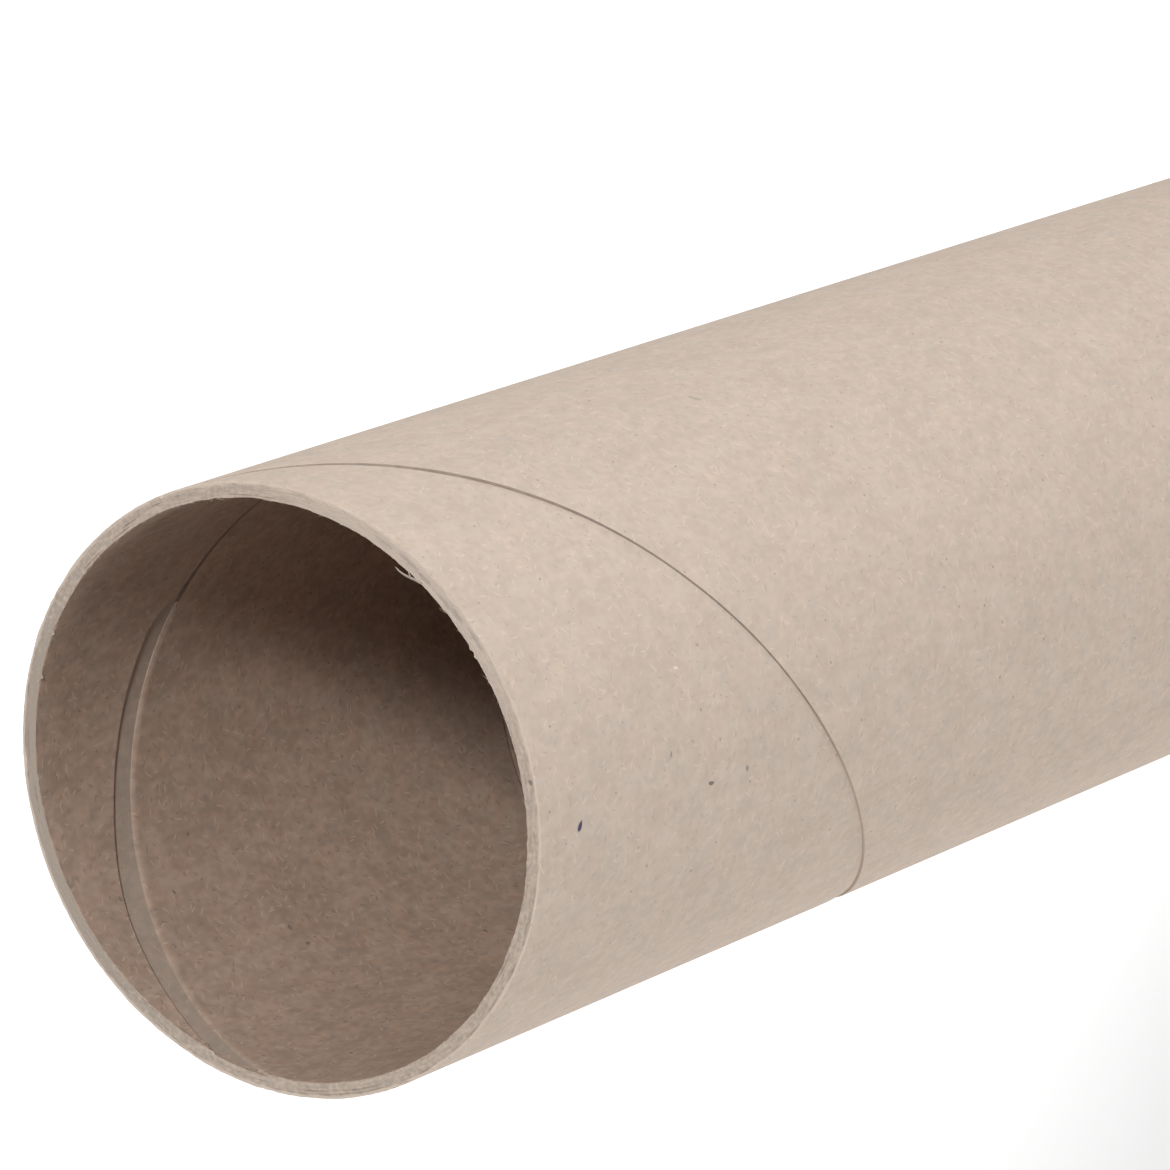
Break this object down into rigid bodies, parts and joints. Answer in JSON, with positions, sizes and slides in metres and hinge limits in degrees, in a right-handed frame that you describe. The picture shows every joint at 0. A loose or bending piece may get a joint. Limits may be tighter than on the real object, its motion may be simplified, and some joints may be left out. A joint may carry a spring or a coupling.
{
  "type": "cardboard mailing tube",
  "caption": "Spiral-wound cardboard mailing tube, open at both ends, with a hairline helical seam outside and an open helical ply gap inside.",
  "frame": {"origin": "centre of the lower cut end, on the surface that the tube stands on", "axes": "+Z along the tube's axis towards the upper cut end, +X and +Y across it"},
  "size_m": [0.0802, 0.0802, 0.45],
  "materials": {
    "board": "matte"
  },
  "bodies": {
    "root": {"tube": "board"}
  },
  "joints": []
}
